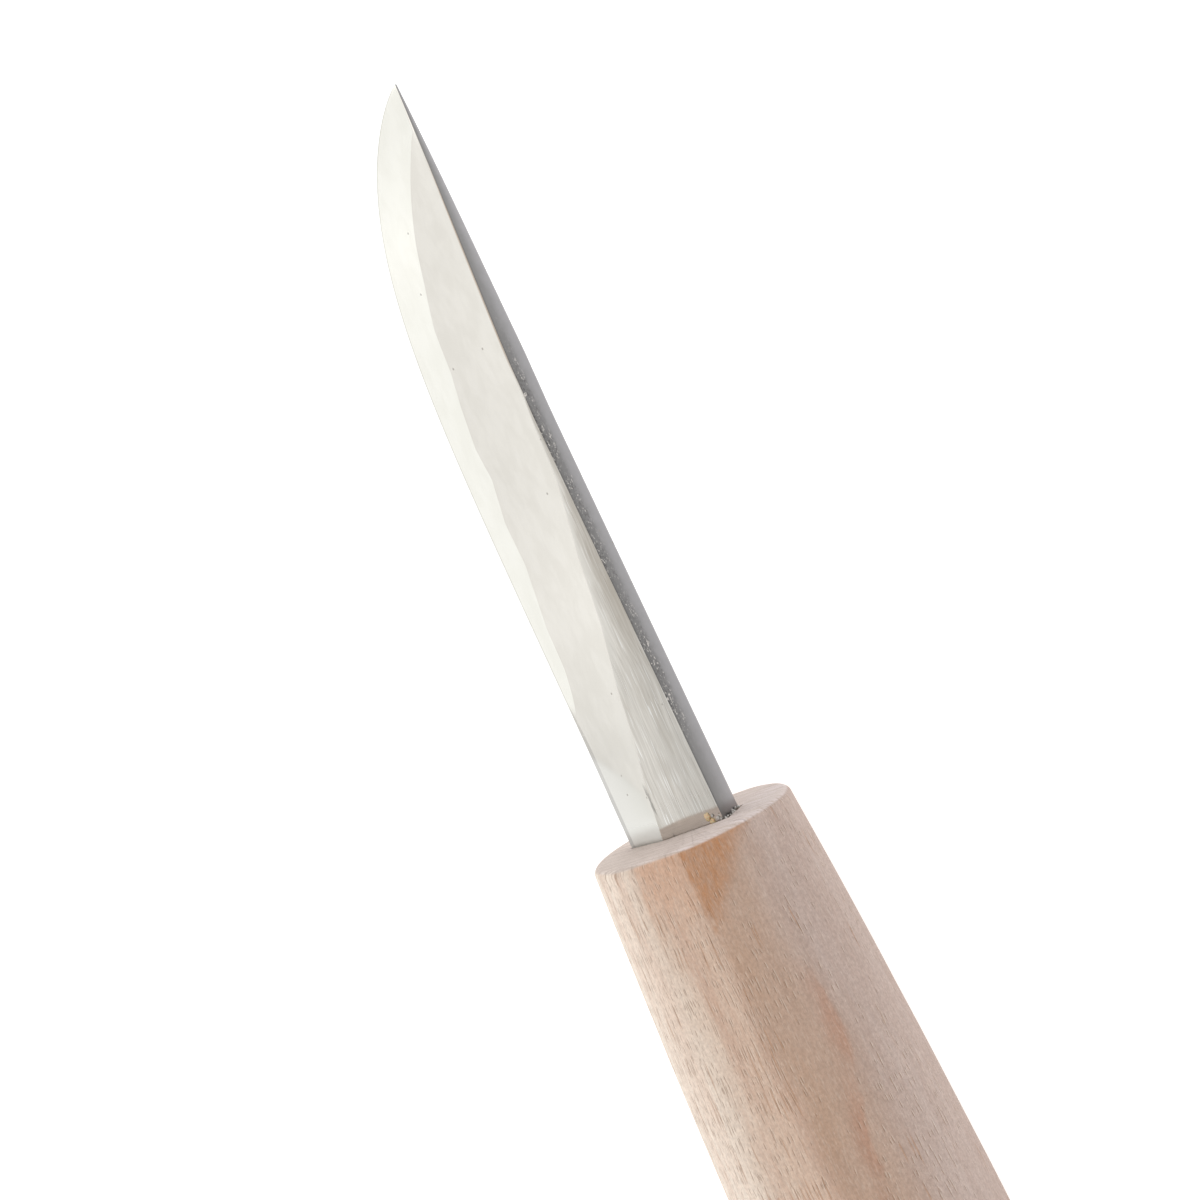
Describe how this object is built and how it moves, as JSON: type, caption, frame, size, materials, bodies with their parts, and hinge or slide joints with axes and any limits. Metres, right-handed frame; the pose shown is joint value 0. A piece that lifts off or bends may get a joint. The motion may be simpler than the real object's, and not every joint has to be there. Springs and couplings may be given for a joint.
{
  "type": "chip carving knife",
  "caption": "Chip carving knife: a short forged blade with ground facets and a curved tip, glued by its tang into a smooth oval wooden handle.",
  "frame": {"origin": "centre of the handle's flat front face, where the blade enters the wood", "axes": "+X along the knife toward the tip, +Y toward the cutting edge, +Z the normal of one side of the blade, so the knife lies on its side"},
  "size_m": [0.1746, 0.0246, 0.02],
  "materials": {
    "blade_steel": "satin",
    "handle_wood": "matte",
    "epoxy": "gloss"
  },
  "bodies": {
    "root": {"blade": "blade_steel", "handle": "handle_wood", "tang_epoxy": "epoxy", "glue_dab": "epoxy"}
  },
  "joints": []
}
